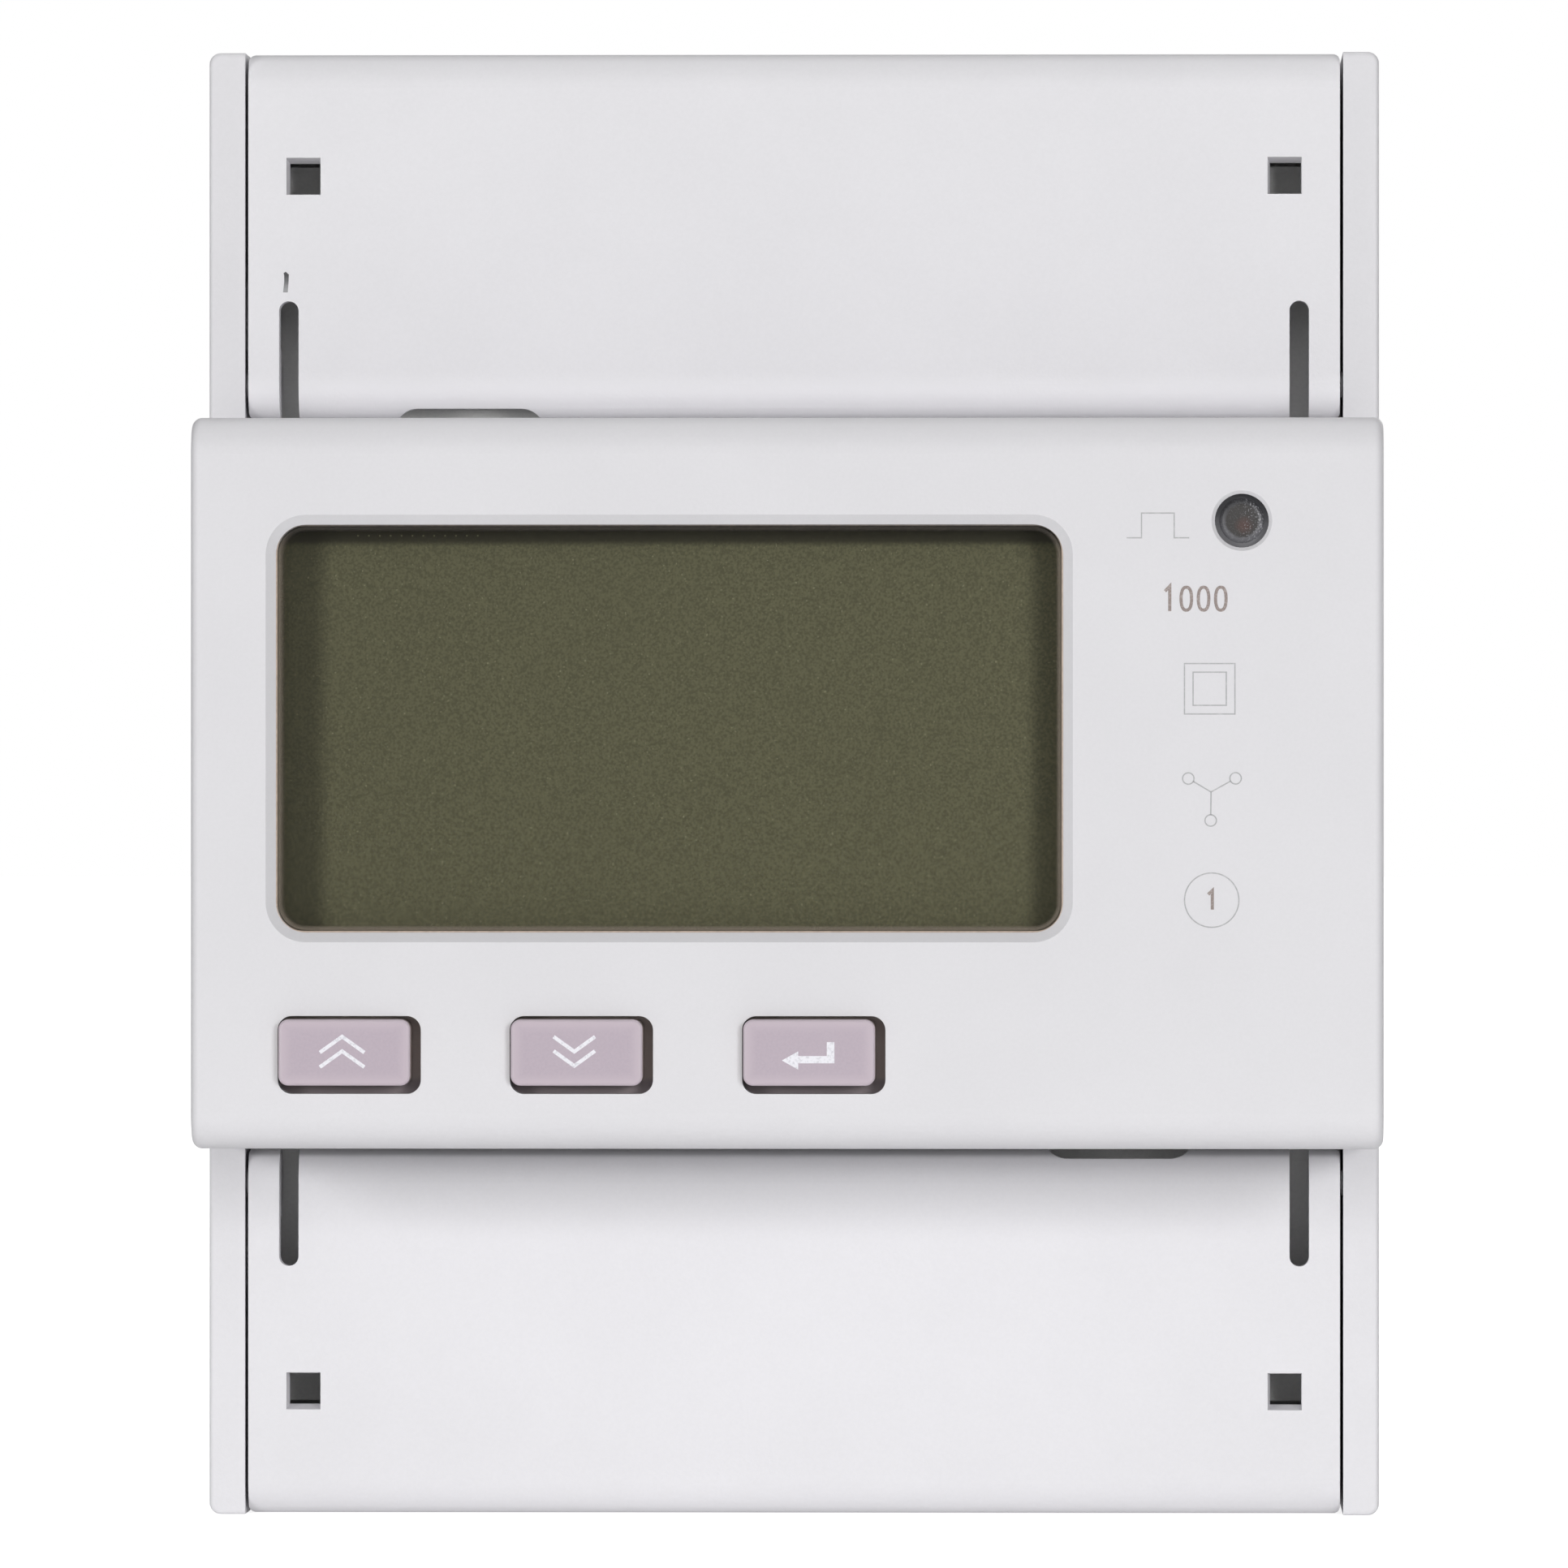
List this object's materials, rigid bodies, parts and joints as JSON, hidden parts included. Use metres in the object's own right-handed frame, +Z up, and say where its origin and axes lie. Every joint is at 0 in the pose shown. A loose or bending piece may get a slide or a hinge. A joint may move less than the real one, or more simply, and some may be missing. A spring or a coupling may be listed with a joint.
{
  "type": "energy monitor",
  "caption": "Rail-mounted three-phase energy monitor: stepped housing with display window, push keys, pulse lamp, hinged terminal covers and screw terminals.",
  "frame": {"origin": "middle of the face that seats on the rail, level with the front block's middle", "axes": "+Z up as in use, front faces -Y, +Y towards the rail, +X to the right seen from the front"},
  "size_m": [0.072, 0.0663, 0.09],
  "materials": {
    "case": "light grey moulded plastic, fine spark texture",
    "cover": "light grey moulded plastic, fine spark texture",
    "insulator": "dark grey glass-filled plastic",
    "clip": "black plastic",
    "copper": "tinned brass strip",
    "plated": "zinc plated steel",
    "steel": "zinc plated steel screws",
    "transformer": "blue moulded case",
    "lens": "clear polycarbonate",
    "display": "blank olive display cell",
    "light_guide": "white light guide",
    "lamp": "tinted epoxy lamp",
    "board": "green fibreglass board",
    "connector": "black plastic",
    "capacitor": "sleeved aluminium can",
    "key": "mauve grey key cap, satin",
    "plunger": "switch plunger"
  },
  "bodies": {
    "housing": {"base_housing": "case", "front_housing": "case", "terminal_block_top": "insulator", "terminal_block_bottom": "insulator", "busbar_phase_1": "copper", "busbar_phase_2": "copper", "busbar_phase_3": "copper", "busbar_neutral": "copper", "signal_contacts": "copper", "current_transformer_1": "transformer", "current_transformer_2": "transformer", "current_transformer_3": "transformer", "window_lens": "lens", "lcd_glass": "display", "lcd_backlight": "light_guide", "pulse_led": "lamp", "display_board": "board", "power_board": "board", "board_connector": "connector", "supply_transformer": "transformer", "supply_capacitors": "capacitor", "display_board_screws": "steel", "power_board_screws": "steel", "switch_body_up": "connector", "switch_body_down": "connector", "switch_body_enter": "connector"},
    "cover_top": {"terminal_cover_top": "cover"},
    "cover_bottom": {"terminal_cover_bottom": "cover"},
    "clip": {"rail_clip": "clip"},
    "key_up": {"button_up": "key", "switch_plunger_up": "plunger"},
    "key_down": {"button_down": "key", "switch_plunger_down": "plunger"},
    "key_enter": {"button_enter": "key", "switch_plunger_enter": "plunger"},
    "power_top_1_screw": {"power_screw_top_1": "steel"},
    "power_top_1_cage": {"power_cage_top_1": "plated"},
    "power_top_2_screw": {"power_screw_top_2": "steel"},
    "power_top_2_cage": {"power_cage_top_2": "plated"},
    "power_top_3_screw": {"power_screw_top_3": "steel"},
    "power_top_3_cage": {"power_cage_top_3": "plated"},
    "power_top_4_screw": {"power_screw_top_4": "steel"},
    "power_top_4_cage": {"power_cage_top_4": "plated"},
    "power_bottom_1_screw": {"power_screw_bottom_1": "steel"},
    "power_bottom_1_cage": {"power_cage_bottom_1": "plated"},
    "power_bottom_2_screw": {"power_screw_bottom_2": "steel"},
    "power_bottom_2_cage": {"power_cage_bottom_2": "plated"},
    "power_bottom_3_screw": {"power_screw_bottom_3": "steel"},
    "power_bottom_3_cage": {"power_cage_bottom_3": "plated"},
    "power_bottom_4_screw": {"power_screw_bottom_4": "steel"},
    "power_bottom_4_cage": {"power_cage_bottom_4": "plated"},
    "signal_top_1_screw": {"signal_screw_top_1": "steel"},
    "signal_top_1_cage": {"signal_cage_top_1": "plated"},
    "signal_top_2_screw": {"signal_screw_top_2": "steel"},
    "signal_top_2_cage": {"signal_cage_top_2": "plated"},
    "signal_bottom_1_screw": {"signal_screw_bottom_1": "steel"},
    "signal_bottom_1_cage": {"signal_cage_bottom_1": "plated"},
    "signal_bottom_2_screw": {"signal_screw_bottom_2": "steel"},
    "signal_bottom_2_cage": {"signal_cage_bottom_2": "plated"}
  },
  "joints": [
    {"name": "cover_top_hinge", "type": "hinge", "parent": "housing", "child": "cover_top", "pos_m": [0, -0.0393, 0.0246], "axis": [1, 0, 0], "range_deg": [0, 90]},
    {"name": "cover_bottom_hinge", "type": "hinge", "parent": "housing", "child": "cover_bottom", "pos_m": [0, -0.0393, -0.0246], "axis": [-1, 0, 0], "range_deg": [0, 90]},
    {"name": "clip_slide", "type": "slide", "parent": "housing", "child": "clip", "axis": [0, 0, -1], "range_m": [0, 0.004]},
    {"name": "key_up_press", "type": "slide", "parent": "housing", "child": "key_up", "axis": [0, 1, 0], "range_m": [0, 0.0005], "stiffness_N_per_m": 2500, "springref_m": -0.0002},
    {"name": "key_down_press", "type": "slide", "parent": "housing", "child": "key_down", "axis": [0, 1, 0], "range_m": [0, 0.0005], "stiffness_N_per_m": 2500, "springref_m": -0.0002},
    {"name": "key_enter_press", "type": "slide", "parent": "housing", "child": "key_enter", "axis": [0, 1, 0], "range_m": [0, 0.0005], "stiffness_N_per_m": 2500, "springref_m": -0.0002},
    {"name": "power_top_1_turn", "type": "hinge", "parent": "housing", "child": "power_top_1_screw", "pos_m": [-0.02625, -0.03, 0.03355], "axis": [0, 1, 0], "range_deg": [0, 2700]},
    {"name": "power_top_1_rise", "type": "slide", "parent": "housing", "child": "power_top_1_cage", "axis": [0, -1, 0], "range_m": [0, 0.006]},
    {"name": "power_top_2_turn", "type": "hinge", "parent": "housing", "child": "power_top_2_screw", "pos_m": [-0.01275, -0.03, 0.03355], "axis": [0, 1, 0], "range_deg": [0, 2700]},
    {"name": "power_top_2_rise", "type": "slide", "parent": "housing", "child": "power_top_2_cage", "axis": [0, -1, 0], "range_m": [0, 0.006]},
    {"name": "power_top_3_turn", "type": "hinge", "parent": "housing", "child": "power_top_3_screw", "pos_m": [0.00075, -0.03, 0.03355], "axis": [0, 1, 0], "range_deg": [0, 2700]},
    {"name": "power_top_3_rise", "type": "slide", "parent": "housing", "child": "power_top_3_cage", "axis": [0, -1, 0], "range_m": [0, 0.006]},
    {"name": "power_top_4_turn", "type": "hinge", "parent": "housing", "child": "power_top_4_screw", "pos_m": [0.01425, -0.03, 0.03355], "axis": [0, 1, 0], "range_deg": [0, 2700]},
    {"name": "power_top_4_rise", "type": "slide", "parent": "housing", "child": "power_top_4_cage", "axis": [0, -1, 0], "range_m": [0, 0.006]},
    {"name": "power_bottom_1_turn", "type": "hinge", "parent": "housing", "child": "power_bottom_1_screw", "pos_m": [-0.02625, -0.03, -0.03355], "axis": [0, 1, 0], "range_deg": [0, 2700]},
    {"name": "power_bottom_1_rise", "type": "slide", "parent": "housing", "child": "power_bottom_1_cage", "axis": [0, -1, 0], "range_m": [0, 0.006]},
    {"name": "power_bottom_2_turn", "type": "hinge", "parent": "housing", "child": "power_bottom_2_screw", "pos_m": [-0.01275, -0.03, -0.03355], "axis": [0, 1, 0], "range_deg": [0, 2700]},
    {"name": "power_bottom_2_rise", "type": "slide", "parent": "housing", "child": "power_bottom_2_cage", "axis": [0, -1, 0], "range_m": [0, 0.006]},
    {"name": "power_bottom_3_turn", "type": "hinge", "parent": "housing", "child": "power_bottom_3_screw", "pos_m": [0.00075, -0.03, -0.03355], "axis": [0, 1, 0], "range_deg": [0, 2700]},
    {"name": "power_bottom_3_rise", "type": "slide", "parent": "housing", "child": "power_bottom_3_cage", "axis": [0, -1, 0], "range_m": [0, 0.006]},
    {"name": "power_bottom_4_turn", "type": "hinge", "parent": "housing", "child": "power_bottom_4_screw", "pos_m": [0.01425, -0.03, -0.03355], "axis": [0, 1, 0], "range_deg": [0, 2700]},
    {"name": "power_bottom_4_rise", "type": "slide", "parent": "housing", "child": "power_bottom_4_cage", "axis": [0, -1, 0], "range_m": [0, 0.006]},
    {"name": "signal_top_1_turn", "type": "hinge", "parent": "housing", "child": "signal_top_1_screw", "pos_m": [0.03, -0.03, 0.03355], "axis": [0, 1, 0], "range_deg": [0, 2016]},
    {"name": "signal_top_1_rise", "type": "slide", "parent": "housing", "child": "signal_top_1_cage", "axis": [0, -1, 0], "range_m": [0, 0.0028]},
    {"name": "signal_top_2_turn", "type": "hinge", "parent": "housing", "child": "signal_top_2_screw", "pos_m": [0.0245, -0.03, 0.03355], "axis": [0, 1, 0], "range_deg": [0, 2016]},
    {"name": "signal_top_2_rise", "type": "slide", "parent": "housing", "child": "signal_top_2_cage", "axis": [0, -1, 0], "range_m": [0, 0.0028]},
    {"name": "signal_bottom_1_turn", "type": "hinge", "parent": "housing", "child": "signal_bottom_1_screw", "pos_m": [0.03, -0.03, -0.03355], "axis": [0, 1, 0], "range_deg": [0, 2016]},
    {"name": "signal_bottom_1_rise", "type": "slide", "parent": "housing", "child": "signal_bottom_1_cage", "axis": [0, -1, 0], "range_m": [0, 0.0028]},
    {"name": "signal_bottom_2_turn", "type": "hinge", "parent": "housing", "child": "signal_bottom_2_screw", "pos_m": [0.0245, -0.03, -0.03355], "axis": [0, 1, 0], "range_deg": [0, 2016]},
    {"name": "signal_bottom_2_rise", "type": "slide", "parent": "housing", "child": "signal_bottom_2_cage", "axis": [0, -1, 0], "range_m": [0, 0.0028]}
  ],
  "couplings": [
    {"joint": "power_top_1_turn", "follows": "power_top_1_rise", "rad_per_m": 7854},
    {"joint": "power_top_2_turn", "follows": "power_top_2_rise", "rad_per_m": 7854},
    {"joint": "power_top_3_turn", "follows": "power_top_3_rise", "rad_per_m": 7854},
    {"joint": "power_top_4_turn", "follows": "power_top_4_rise", "rad_per_m": 7854},
    {"joint": "power_bottom_1_turn", "follows": "power_bottom_1_rise", "rad_per_m": 7854},
    {"joint": "power_bottom_2_turn", "follows": "power_bottom_2_rise", "rad_per_m": 7854},
    {"joint": "power_bottom_3_turn", "follows": "power_bottom_3_rise", "rad_per_m": 7854},
    {"joint": "power_bottom_4_turn", "follows": "power_bottom_4_rise", "rad_per_m": 7854},
    {"joint": "signal_top_1_turn", "follows": "signal_top_1_rise", "rad_per_m": 12566},
    {"joint": "signal_top_2_turn", "follows": "signal_top_2_rise", "rad_per_m": 12566},
    {"joint": "signal_bottom_1_turn", "follows": "signal_bottom_1_rise", "rad_per_m": 12566},
    {"joint": "signal_bottom_2_turn", "follows": "signal_bottom_2_rise", "rad_per_m": 12566}
  ]
}
